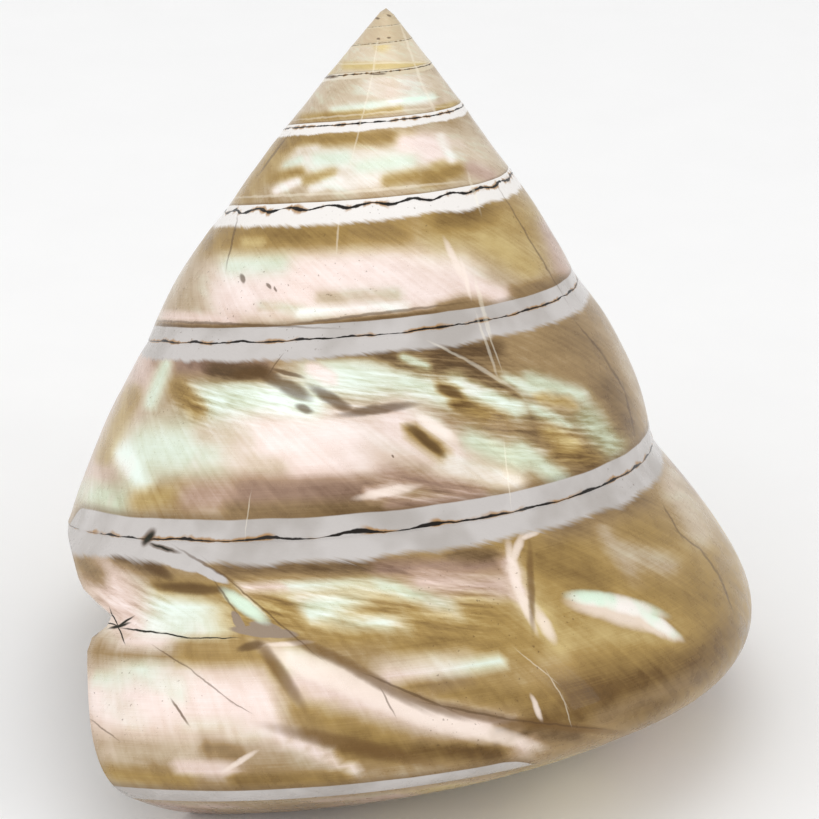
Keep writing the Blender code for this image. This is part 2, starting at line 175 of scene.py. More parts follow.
# Colour laid on the front by soft brush strokes, in order. The tone is partly the nacre's own colour
# and partly painted light: painted reflections of the lamps in the brightest patches, painted
# highlights and painted shade. Each whorl has its own strokes, under the number of its turn. A stroke
# has its start and its end (across and down) and half its width, in the photograph's pixels, then the
# nacre's hue and its tone, from 0, darkest, to 1, brightest.
PAINT = {
    1: (
        (378, 5, 378, 60, 45, "plain", 0.80), (415, 20, 425, 70, 12, "plain", 0.84),
        (340, 50, 325, 75, 6, "gold", 0.66), (370, 30, 382, 44, 8, "gold", 0.74),
        (345, 66, 430, 66, 4, "gold", 0.66),
    ),
    2: (
        (330, 95, 430, 90, 22, "plain", 0.78), (300, 110, 340, 88, 9, "plain", 0.68),
        (375, 86, 415, 85, 10, "plain", 0.84), (440, 95, 455, 105, 8, "plain", 0.72),
        (335, 111, 372, 106, 4, "mint", 0.90), (372, 106, 432, 97, 4, "mint", 0.92),
        (303, 118, 362, 114, 4, "gold", 0.50), (362, 114, 400, 109, 3, "gold", 0.60),
        (438, 109, 460, 103, 3, "gold", 0.58),
    ),
    3: (
        (290, 160, 480, 158, 34, "plain", 0.72), (240, 190, 290, 140, 13, "gold", 0.50),
        (285, 141, 408, 138, 8, "gold", 0.42), (300, 163, 420, 158, 13, "plain", 0.88),
        (300, 152, 316, 149, 5, "plain", 0.84), (318, 160, 345, 158, 7, "mint", 0.88),
        (362, 168, 408, 160, 8, "mint", 0.86), (340, 184, 378, 181, 8, "plain", 0.92),
        (286, 166, 300, 160, 4, "mint", 0.84), (270, 178, 300, 172, 5, "gold", 0.48),
        (306, 180, 332, 174, 5, "gold", 0.54), (388, 181, 415, 176, 6, "gold", 0.50),
        (428, 178, 458, 168, 9, "gold", 0.46), (436, 166, 446, 158, 5, "gold", 0.60),
        (276, 191, 298, 181, 4, "plain", 0.96), (312, 190, 340, 178, 5, "plain", 0.94),
        (405, 142, 438, 144, 9, "pink", 0.92), (430, 154, 456, 150, 8, "pink", 0.90),
        (455, 150, 476, 160, 8, "plain", 0.76), (440, 138, 452, 160, 4, "plain", 0.95),
        (472, 168, 490, 176, 7, "pink", 0.58),
    ),
    4: (
        (200, 270, 560, 255, 48, "plain", 0.62), (160, 310, 200, 250, 22, "plain", 0.60),
        (240, 277, 450, 266, 26, "pink", 0.91), (230, 300, 440, 290, 18, "pink", 0.90),
        (232, 265, 278, 262, 13, "mint", 0.86), (205, 238, 400, 231, 15, "gold", 0.42),
        (246, 243, 262, 241, 5, "gold", 0.62), (440, 222, 555, 225, 28, "gold", 0.53),
        (444, 214, 486, 216, 11, "gold", 0.30), (492, 240, 530, 266, 16, "gold", 0.64),
        (548, 225, 570, 280, 10, "pink", 0.56), (322, 298, 396, 295, 7, "plain", 0.70),
        (262, 306, 300, 308, 5, "plain", 0.74), (300, 312, 405, 306, 4, "plain", 1.00),
        (165, 316, 235, 320, 5, "pink", 0.78), (160, 326, 300, 330, 3, "plain", 0.32),
        (300, 328, 440, 311, 3, "plain", 0.32), (440, 308, 562, 281, 6, "plain", 0.40),
        (463, 282, 500, 295, 9, "pink", 0.84),
    ),
    5: (
        # Left side
        (100, 450, 350, 430, 75, "plain", 0.55), (150, 350, 95, 480, 17, "pink", 0.64),
        (132, 395, 105, 455, 9, "gold", 0.50), (90, 492, 118, 500, 14, "mint", 0.74),
        (250, 440, 405, 436, 28, "pink", 0.95), (300, 470, 400, 462, 11, "pink", 0.93),
        (145, 450, 205, 448, 25, "mint", 0.88), (206, 402, 240, 396, 19, "mint", 0.83),
        (252, 395, 310, 405, 15, "mint", 0.94), (205, 433, 242, 440, 13, "plain", 0.80),
        (246, 463, 276, 466, 7, "plain", 0.74), (165, 362, 262, 368, 10, "pink", 0.33),
        (215, 370, 262, 373, 8, "plain", 0.21), (178, 388, 197, 410, 9, "gold", 0.43),
        (166, 364, 150, 402, 7, "mint", 0.82), (322, 374, 385, 381, 19, "mint", 0.95),
        (313, 368, 330, 378, 6, "pink", 0.93), (312, 352, 405, 350, 7, "plain", 0.26),
        (125, 455, 143, 484, 10, "mint", 1.00), (140, 501, 185, 492, 10, "gold", 0.60),
        (190, 496, 255, 497, 13, "pink", 0.50), (250, 493, 380, 489, 14, "pink", 0.36),
        (230, 511, 400, 508, 8, "plain", 0.34), (372, 494, 402, 488, 6, "pink", 0.92),
        # Right side
        (450, 440, 620, 410, 60, "plain", 0.44), (570, 335, 625, 390, 16, "plain", 0.42),
        (400, 425, 452, 458, 20, "pink", 0.93), (445, 465, 515, 482, 11, "plain", 0.87),
        (385, 352, 495, 349, 10, "plain", 0.26), (400, 360, 470, 372, 9, "plain", 0.29),
        (402, 357, 427, 366, 4, "mint", 0.70), (405, 384, 450, 396, 11, "mint", 0.87),
        (455, 385, 515, 408, 11, "mint", 0.93), (505, 380, 548, 394, 6, "mint", 0.88),
        (530, 379, 582, 396, 7, "mint", 0.76), (535, 409, 568, 427, 6, "mint", 0.80),
        (470, 374, 514, 392, 5, "plain", 0.32), (442, 388, 457, 394, 6, "gold", 0.36),
        (457, 404, 500, 419, 7, "gold", 0.33), (498, 427, 575, 441, 9, "plain", 0.44),
        (470, 440, 520, 460, 10, "mint", 0.76), (520, 450, 562, 480, 9, "mint", 0.77),
        (562, 450, 594, 459, 10, "gold", 0.33), (588, 418, 612, 445, 13, "mint", 0.62),
        # The second stroke of the next line is a painted highlight.
        (412, 431, 440, 451, 7, "gold", 0.29), (426, 421, 447, 436, 5, "plain", 1.00),
        (388, 474, 480, 494, 7, "pink", 0.50), (390, 505, 480, 499, 6, "pink", 0.46),
        # The second stroke of the next line is a painted pale reflection along the right rim.
        (606, 385, 624, 425, 9, "plain", 0.34), (620, 350, 648, 420, 6, "plain", 0.54),
        (540, 398, 572, 404, 5, "gold", 0.60), (548, 432, 574, 444, 8, "gold", 0.56),
    ),
    6: (
        # The repair beside the lip
        (110, 640, 250, 640, 80, "plain", 0.55), (105, 580, 140, 630, 22, "pink", 0.82),
        (165, 604, 226, 612, 17, "mint", 0.94), (150, 624, 228, 629, 8, "mint", 0.93),
        (80, 562, 98, 576, 9, "plain", 0.42), (118, 558, 160, 572, 7, "plain", 0.30),
        (160, 586, 216, 590, 8, "gold", 0.36), (128, 641, 165, 641, 5, "pink", 0.84),
        # Left side, below the repair
        (110, 700, 262, 702, 34, "pink", 0.91), (98, 656, 170, 658, 9, "plain", 0.48),
        (185, 653, 272, 651, 9, "gold", 0.43), (150, 672, 178, 692, 10, "mint", 0.92),
        (290, 690, 312, 740, 14, "plain", 0.50), (305, 706, 395, 745, 15, "gold", 0.42),
        (272, 660, 296, 700, 9, "gold", 0.38), (290, 660, 330, 681, 11, "mint", 0.98),
        (250, 722, 352, 768, 7, "pink", 0.88), (100, 678, 150, 673, 8, "mint", 0.86),
        (185, 722, 262, 735, 6, "plain", 0.84), (208, 745, 238, 756, 8, "plain", 0.40),
        (112, 700, 135, 720, 8, "plain", 0.84), (110, 753, 190, 756, 9, "plain", 0.68),
        (105, 774, 190, 781, 7, "gold", 0.48), (180, 767, 235, 771, 7, "pink", 0.84),
        (235, 781, 345, 778, 6, "gold", 0.36),
        # Middle
        (250, 610, 400, 612, 30, "gold", 0.52), (225, 568, 400, 566, 9, "plain", 0.29),
        (245, 590, 330, 586, 5, "pink", 0.86), (290, 589, 400, 583, 6, "mint", 0.86),
        (300, 603, 400, 604, 4, "mint", 0.76), (310, 616, 405, 625, 7, "mint", 0.88),
        (300, 634, 400, 642, 5, "gold", 0.46),
        # Right side
        (480, 600, 700, 600, 80, "gold", 0.50), (560, 530, 640, 500, 14, "plain", 0.40),
        (640, 545, 710, 600, 24, "gold", 0.44), (604, 532, 634, 576, 8, "plain", 0.62),
        (628, 552, 668, 566, 12, "plain", 0.60), (672, 480, 700, 535, 12, "plain", 0.66),
        (570, 550, 600, 588, 12, "gold", 0.42), (380, 569, 500, 565, 9, "pink", 0.38),
        (455, 554, 492, 556, 6, "plain", 0.30), (420, 582, 505, 587, 12, "pink", 0.62),
        (380, 584, 470, 613, 7, "mint", 0.80), (380, 622, 406, 635, 6, "mint", 0.86),
        (400, 640, 530, 645, 9, "gold", 0.42), (472, 612, 520, 640, 13, "gold", 0.48),
        (510, 560, 528, 612, 7, "pink", 0.82), (545, 560, 578, 580, 13, "gold", 0.40),
        (538, 614, 562, 645, 12, "gold", 0.70), (560, 632, 660, 646, 11, "gold", 0.60),
        (590, 668, 660, 660, 13, "gold", 0.40), (560, 696, 650, 692, 18, "gold", 0.20),
        # The next line is painted shade: darker on the lower right, where the whorl turns under, and along
        # the right rim.
        (640, 700, 735, 630, 18, "gold", 0.30), (722, 560, 748, 620, 8, "gold", 0.42),
        # Foot
        (404, 692, 550, 700, 11, "gold", 0.38), (395, 676, 470, 684, 5, "plain", 0.40),
        (385, 672, 470, 662, 8, "pink", 0.88), (430, 664, 500, 662, 6, "mint", 0.90),
        (300, 684, 520, 738, 16, "pink", 0.80), (345, 752, 500, 752, 9, "gold", 0.24),
        (530, 722, 590, 716, 8, "gold", 0.26), (495, 731, 578, 735, 6, "plain", 0.30),
        (600, 718, 700, 676, 8, "plain", 0.40),
    ),
}

# Where the paint is combed into streaks: start, end and half width
STREAKED = (
    (250, 603, 470, 605, 28),
    (420, 375, 590, 450, 34),
    (110, 600, 150, 610, 20),
    (200, 400, 380, 395, 22),
    (390, 490, 480, 505, 16),
)

# Sharp details on the front: start, end and half width in the photograph's pixels
DETAILS = {
    "blotch": (
        (262, 372, 282, 384, 6.0), (282, 384, 301, 394, 6.5), (300, 407, 308, 410, 3.5),
        (318, 391, 345, 407, 5.0), (352, 413, 402, 406, 4.5), (240, 375, 262, 373, 5.0),
        (276, 370, 298, 376, 2.0), (115, 555, 145, 560, 4.5), (145, 560, 165, 574, 5.0),
        (168, 587, 214, 590, 5.0), (244, 648, 256, 645, 4.0), (174, 703, 186, 721, 1.2),
        (415, 431, 437, 450, 4.0), (443, 389, 455, 392, 4.0),
    ),
    "crack": (
        (98, 620, 118, 626, 0.7), (118, 626, 131, 618, 1.0), (118, 626, 111, 611, 0.6),
        (118, 626, 124, 641, 0.7), (108, 622, 97, 634, 0.6), (112, 628, 126, 624, 1.4),
        (146, 541, 151, 535, 2.6), (155, 545, 170, 550, 1.0),
        (128, 629, 160, 633, 0.9), (160, 633, 190, 638, 0.8), (190, 638, 230, 638, 0.6),
    ),
    "crease": (
        (160, 650, 190, 669, 0.7), (190, 669, 225, 697, 0.7), (225, 697, 246, 710, 0.6),
        (218, 586, 234, 609, 0.9), (188, 554, 226, 577, 1.3), (226, 577, 301, 642, 0.8),
        (94, 722, 114, 737, 0.7), (383, 693, 393, 712, 0.8),
        (666, 510, 680, 534, 0.8), (680, 534, 702, 551, 0.8), (702, 551, 719, 575, 0.9),
        (719, 575, 731, 606, 0.8), (580, 327, 603, 355, 0.8), (603, 355, 625, 391, 0.9),
        (625, 391, 633, 426, 0.8), (509, 205, 555, 282, 0.7), (236, 224, 228, 260, 0.8),
        (161, 321, 300, 327, 1.2), (302, 323, 437, 306, 1.2), (262, 170, 283, 142, 0.9),
        (270, 372, 280, 358, 0.6), (380, 680, 441, 706, 1.1), (441, 706, 513, 720, 1.0),
        (513, 720, 590, 728, 0.8),
    ),
    # Thin cream threads, with short upright painted glints where a lamp's reflection runs down the whorls.
    "thread": (
        (402, 29, 414, 63, 0.9), (414, 63, 424, 88, 1.0), (424, 88, 434, 110, 1.1),
        (377, 46, 372, 77, 0.6), (372, 77, 354, 150, 0.7), (245, 197, 340, 193, 1.1),
        (340, 193, 440, 184, 1.2), (306, 119, 366, 114, 0.8), (366, 114, 432, 108, 0.9),
        (341, 64, 430, 62, 0.7), (439, 346, 470, 362, 1.0), (470, 362, 506, 384, 1.6),
        (480, 326, 494, 366, 1.1), (486, 326, 498, 360, 0.7), (505, 452, 510, 496, 0.6),
        (523, 655, 550, 677, 0.5), (550, 677, 564, 701, 0.5), (564, 701, 570, 720, 0.5),
        (244, 595, 262, 612, 0.8), (338, 226, 337, 247, 0.9), (478, 290, 488, 326, 1.6),
        (470, 180, 478, 205, 1.2), (250, 500, 246, 530, 0.5),
    ),
    "gleam": (
        (582, 597, 612, 601, 6.0), (606, 600, 646, 611, 6.5), (640, 611, 668, 630, 4.8),
        (234, 598, 256, 614, 5.5), (395, 101, 428, 98, 1.6),
    ),
    "porcelain": (
        (84, 532, 112, 540, 12.0), (100, 535, 165, 555, 8.0), (160, 555, 195, 566, 8.0),
        (195, 566, 221, 579, 5.0),
    ),
    # Painted highlights: the bright sheen along the folds and reflections of the lamps in the nacre.
    "bright fold": (
        (310, 666, 395, 702, 9.0), (375, 697, 450, 724, 8.0), (425, 716, 500, 736, 6.0),
        (284, 656, 320, 676, 6.0), (587, 605, 614, 611, 6.5),
        (608, 611, 642, 621, 7.0), (638, 620, 664, 632, 4.5), (519, 544, 512, 560, 3.2),
        (511, 557, 517, 586, 3.6), (515, 582, 529, 615, 3.0), (525, 537, 533, 534, 2.0),
        (541, 618, 549, 632, 4.0), (534, 702, 539, 714, 1.9), (232, 766, 248, 756, 2.0),
        (272, 645, 298, 643, 2.0), (427, 421, 446, 434, 4.0), (372, 495, 402, 489, 3.2),
        (450, 251, 460, 272, 2.4), (463, 268, 468, 288, 1.6),
    ),
    # Painted shade along the folds.
    "dark fold": (
        (300, 642, 352, 666, 4.5), (345, 663, 403, 697, 4.5), (396, 692, 447, 711, 4.5),
        (437, 706, 517, 723, 4.5), (508, 720, 594, 730, 3.5), (268, 655, 293, 692, 5.0),
        (306, 735, 398, 756, 6.0), (530, 562, 532, 612, 2.8),
    ),
    "slate": (
        (240, 630, 288, 634, 5.5), (235, 616, 242, 628, 4.5), (256, 625, 276, 629, 5.0),
    ),
    "speck": (
        (242, 277, 243, 280, 2.4), (268, 285, 270, 287, 1.6), (376, 18, 378, 18, 1.0),
        (388, 15, 390, 16, 1.1), (378, 39, 379, 39, 1.0), (388, 38, 390, 38, 1.0),
        (146, 541, 151, 534, 4.6), (153, 545, 174, 551, 2.4), (325, 77, 335, 77, 1.6),
        (371, 74, 383, 74, 1.0), (392, 456, 393, 457, 1.0), (275, 287, 276, 290, 1.0),
    ),
}


def smooth_step(value, low, high):
    """Rises from 0 at low to 1 at high, level at both ends: three squares less two cubes."""
    share = np.clip((value - low) / (high - low), 0.0, 1.0)
    return share * share * (3.0 - 2.0 * share)


def suture_point(turn):
    """Radius and depth of the suture at a turn.

    The radius follows a logistic curve. The depth is the radius times a slope that itself rises
    with a power of the radius, and drops a little more near the lip.
    """
    radius = FULL_RADIUS / (1.0 + GROWTH_PER_TURN ** (HALF_GROWN_TURN - turn))
    depth = radius * (TIP_SLOPE + SLOPE_GAIN * (radius / GAIN_RADIUS) ** GAIN_POWER)
    drop = LIP_DROP * smooth_step(turn, LIP_DROP_FROM_TURN, LIP_DROP_TO_TURN)
    return np.stack([radius, depth + drop], axis=-1)


def turned(direction, degrees):
    """Turns plane directions towards the winding axis by an angle."""
    angle = np.radians(degrees)
    radial = direction[..., 0] * np.cos(angle) - direction[..., 1] * np.sin(angle)
    axial = direction[..., 0] * np.sin(angle) + direction[..., 1] * np.cos(angle)
    return np.stack([radial, axial], axis=-1)


def cubic(start, start_handle, end_handle, end, share):
    """Point at a share of the run of a cubic curve with a start, two handles and an end: the sum of
    the four, each by its own term of the cube of the rest plus the share."""
    share = share[..., None]
    rest = 1.0 - share
    return (rest ** 3 * start + 3.0 * rest ** 2 * share * start_handle
            + 3.0 * rest * share ** 2 * end_handle + share ** 3 * end)


def side_chord(turn):
    """Suture, keel, and the length and direction of the line between them, at a turn."""
    suture = suture_point(turn)
    keel = suture_point(turn + 1.0)
    length = np.linalg.norm(keel - suture, axis=-1, keepdims=True)
    return suture, keel, length, (keel - suture) / length


def side_point(turn, share):
    """Point of a whorl's side, a cubic from the suture at share 0 to the keel at share 1."""
    suture, keel, length, chord = side_chord(turn)
    bulge = np.interp(turn, BULGE_TURNS, BULGE_ANGLES)
    rounding = smooth_step(turn, ROUND_KEEL_FROM_TURN, ROUND_KEEL_TO_TURN)
    arriving = turned(chord, bulge + (ROUND_KEEL_ANGLE - bulge) * rounding)
    return cubic(suture, suture + SUTURE_HANDLE * length * turned(chord, -bulge),
                 keel - KEEL_HANDLE * length * arriving, keel, share)


def base_point(turn, share):
    """Point of a whorl's base, a cubic from the keel at share 0 to the columella at share 1."""
    _, keel, _, chord = side_chord(turn)
    leaving = turned(chord, ROUND_KEEL_ANGLE)
    radius = keel[..., :1]
    free = smooth_step(turn, ROUND_KEEL_FROM_TURN, ROUND_KEEL_TO_TURN)[..., None]
    handle = COVERED_BASE_HANDLE + (FREE_BASE_HANDLE - COVERED_BASE_HANDLE) * free
    inner = np.concatenate([COLUMELLA_SHARE * radius, keel[..., 1:] + BASE_FALL * radius], axis=-1)
    inward = np.array([1.0, 0.0])
    return cubic(keel, keel + handle * radius * leaving,
                 inner + BASE_END_HANDLE * radius * inward, inner, share)


def pit_point(turn, share):
    """Point of the pit in the base: over its rim, then up to its end on the winding axis."""
    rim_start = base_point(turn, np.ones_like(turn))
    radius = rim_start[..., :1] / COLUMELLA_SHARE
    top = np.zeros_like(rim_start)
    top[..., 1] = PIT_DEPTH
    rim = np.concatenate([PIT_RIM_SHARE * radius, rim_start[..., 1:]], axis=-1)
    wall = top + (rim - top) * np.array(PIT_WALL_HANDLE)
    return cubic(rim_start, rim, wall, top, share)


def growth_turn(turn, row):
    """Turn of a sheet point: its growth line's turn, less the line's lean and the lip's notch.

    The lean is even down the spire. Near the lip it rises as an exponential just under the suture,
    and the notch there is a bell curve down the side.
    """
    down = np.minimum(row / SIDE_END, 1.0)
    early = (1.0 - np.exp(-LIP_LEAN_RATE * down)) / (1.0 - math.exp(-LIP_LEAN_RATE))
    lag = down + (early - down) * smooth_step(turn, LIP_TURN - LIP_LEAN_TURNS, LIP_TURN)
    notch = NOTCH_TURNS * np.exp(-((row / SIDE_END - NOTCH_HEIGHT) / NOTCH_WIDTH) ** 2)
    near_lip = smooth_step(turn, LIP_TURN - NOTCH_FADE_TURNS, LIP_TURN)
    across_base = smooth_step(row, SIDE_END, PIT_END)
    lean = LEAN_COLUMNS / COLUMNS_PER_TURN * lag + BASE_LEAN_TURNS * across_base
    return turn - lean - notch * near_lip


def outer_point(turn, row):
    """Point of the outside at a turn and a row, in the plane through the winding axis."""
    side = side_point(turn, np.minimum(row / SIDE_END, 1.0))
    base = base_point(turn, np.clip((row - SIDE_END) / (BASE_END - SIDE_END), 0.0, 1.0))
    pit = pit_point(turn, np.clip((row - BASE_END) / (PIT_END - BASE_END), 0.0, 1.0))
    point = np.where(row[..., None] > SIDE_END, base, side)
    return np.where(row[..., None] > BASE_END, pit, point)


def inner_point(turn, row, grown):
    """Point of the hollow's wall: the outside, set in by the wall, then up the columella."""
    step = WALL_SAMPLE_ROWS
    sheet_row = np.minimum(row, BASE_END)
    here = outer_point(turn, sheet_row)
    ahead = outer_point(turn, np.minimum(sheet_row + step, BASE_END))
    behind = outer_point(turn, sheet_row - np.where(sheet_row > step, step, 0.0))
    along = ahead - behind
    along /= np.linalg.norm(along, axis=-1, keepdims=True)
    near_lip = smooth_step(grown, LIP_TURN - LIP_THINNING_TURNS, LIP_TURN)
    share = WALL_SHARE * (1.0 - (1.0 - LIP_WALL_SHARE) * near_lip)
    wall = share[..., None] * suture_point(turn + 1.0)[..., :1]
    floor = here + wall * turned(along, 90.0)
    roof = base_point(turn - 1.0, np.ones_like(turn))
    climb = np.clip((row - BASE_END) / (PIT_END - BASE_END), 0.0, 1.0)[..., None]
    point = floor + (roof - floor) * climb
    roof_share = ROOF_FIRST_SHARE + (1.0 - ROOF_FIRST_SHARE) * np.clip(row / PIT_END, 0.0, 1.0)
    closed_turn = LIP_TURN - HOLLOW_TURNS
    closing = CLOSING_SHARE * (1.0 - smooth_step(grown, closed_turn, closed_turn + CLOSING_TURNS))
    return point + (base_point(turn - 1.0, roof_share) - point) * closing[..., None]


def to_space(turn, point):
    """Carries plane points round the winding axis by their turn, clockwise seen from the tip."""
    angle = 2.0 * math.pi * turn
    radius = point[..., 0]
    return np.stack([radius * np.cos(angle), -radius * np.sin(angle), -point[..., 1]], axis=-1)


def relief(turn, row):
    """How far the polished face stands off the plain sheet, in metres.

    Two crossing sine waves left by the polisher, and along each covered suture a groove whose
    depth falls off on both sides as a bell curve, by minus the square of the distance.
    """
    share = np.minimum(row / SIDE_END, 1.0)
    _, keel, length, _ = side_chord(turn)
    size = keel[..., 0] / FULL_RADIUS
    waves = np.ones_like(share)
    for turn_rate, side_rate in POLISH_WAVES:
        waves *= np.sin(2.0 * math.pi * (turn_rate * turn + side_rate * share))
    below = np.exp(-(share * length[..., 0] / GROOVE_WIDTH) ** 2)
    above = np.exp(-((1.0 - share) * length[..., 0] / GROOVE_WIDTH) ** 2)
    covered = 1.0 - smooth_step(turn, *GROOVE_END_TURNS)
    groove = below + above * covered * (row <= SIDE_END)
    return size * (WAVE_HEIGHT * waves - GROOVE_DEPTH * groove)


def outside_grid(turns, rows):
    """Space points of the outside at every turn and row, stood off by the relief, with each point's
    turn round the axis, its growth line's turn and its row."""
    grown, row = np.meshgrid(turns, rows, indexing="ij")
    turn = growth_turn(grown, row)
    space = to_space(turn, outer_point(turn, row))
    normal = np.cross(np.gradient(space, axis=1), np.gradient(space, axis=0))
    size = np.linalg.norm(normal, axis=-1, keepdims=True)
    normal = np.divide(normal, size, out=np.zeros_like(normal), where=size > 0.0)
    return space + relief(turn, row)[..., None] * normal, turn, grown, row


def numbered(columns, rows, start):
    """A grid of vertex numbers, counted on from start."""
    return np.arange(columns * rows).reshape(columns, rows) + start


def cells(grid):
    """The four corners of each cell of a grid, of vertex numbers or of values."""
    corners = np.stack([grid[:-1, :-1], grid[1:, :-1], grid[1:, 1:], grid[:-1, 1:]], axis=2)
    return corners.reshape((-1, 4) + grid.shape[2:])


def fan(loop, centre):
    """Triangles from a closed loop of vertex numbers to one centre."""
    following = np.roll(loop, -1)
    return np.stack([loop, following, np.full(len(loop), centre)], axis=-1)


def leaned(space):
    """Leans spiral points back, away from the low side of the base, about the tip."""
    azimuth = np.radians(REST_LEAN_AZIMUTH)
    lean = np.radians(REST_LEAN)
    towards = np.array([math.cos(azimuth), -math.sin(azimuth), 0.0])
    up = np.array([0.0, 0.0, 1.0])
    across = np.cross(up, towards)
    return (np.outer(space @ across, across)
            + np.outer(space @ towards, math.cos(lean) * towards - math.sin(lean) * up)
            + np.outer(space @ up, math.sin(lean) * towards + math.cos(lean) * up))


def brushed_on(places, start, end, half_width):
    """How strongly a soft brush stroke covers each place, 0 to 1.

    The reach is the distance to the line from start to end, over half the width. The cover is one
    half at reach 1 and falls as two to the power of minus a power of the reach.
    """
    start, end = np.array(start, dtype=float), np.array(end, dtype=float)
    line = end - start
    run = max(float(line @ line), 1e-9)
    share = np.clip((places - start) @ line / run, 0.0, 1.0)
    reach = np.linalg.norm(places - start - share[:, None] * line, axis=-1) / half_width
    return 2.0 ** -np.minimum(reach, STROKE_END) ** STROKE_EDGE


def painted(places, turn):
    """Tone and hues of the front at each place in the photograph, from every stroke in order: the nacre's
    own colour with painted highlights, reflections and shade in it.
    """
    whorls = np.floor(turn - FRONT_TURN + 0.5)
    tone = np.full(len(places), UNPAINTED_TONE)
    hues = {name: np.zeros(len(places)) for name in HUES}
    for whorl, strokes in PAINT.items():
        own = np.flatnonzero(whorls == whorl)
        for x, y, end_x, end_y, half_width, hue, shade in strokes:
            cover = brushed_on(places[own], (x, y), (end_x, end_y), half_width)
            tone[own] += (shade - tone[own]) * cover
            for name, field in hues.items():
                field[own] += ((name == hue) - field[own]) * cover
    streaked = np.zeros(len(places))
    for x, y, end_x, end_y, half_width in STREAKED:
        streaked = np.maximum(streaked, brushed_on(places, (x, y), (end_x, end_y), half_width))
    return {"tone": tone, **hues, "streaked": streaked}


def border_distances(turn, share):
    """Distances from the suture above and the keel below, as shares of their porcelain bands."""
    below = share / np.interp(turn, BAND_TURNS, BAND_BELOW_SUTURE)
    above = (1.0 - share) / np.interp(turn, BAND_TURNS, BAND_ABOVE_KEEL)
    free = smooth_step(turn, *BAND_END_TURNS)
    striped = smooth_step(turn, FREE_STRIPE_FROM_TURN, FREE_STRIPE_TO_TURN)
    bare = free * (1.0 - striped)
    return np.stack([below, above + (FAR_FROM_BORDER - above) * bare], axis=-1)


def sheet_rows():
    """Row numbers of the grid lines across the whole sheet, crowded at the suture and the keel."""
    even = np.linspace(0.0, 1.0, SIDE_LINES + 1)
    side = SIDE_END * (even - EDGE_CROWDING * np.sin(2.0 * math.pi * even) / (2.0 * math.pi))
    attach = np.linspace(SIDE_END, ATTACH_ROW, ATTACH_LINES + 1)[1:]
    base = np.linspace(ATTACH_ROW, BASE_END, BASE_LINES + 1)[1:]
    pit = np.linspace(BASE_END, PIT_END, ATTACH_LINES + 1)[1:]
    return np.concatenate([side, attach, base, pit])


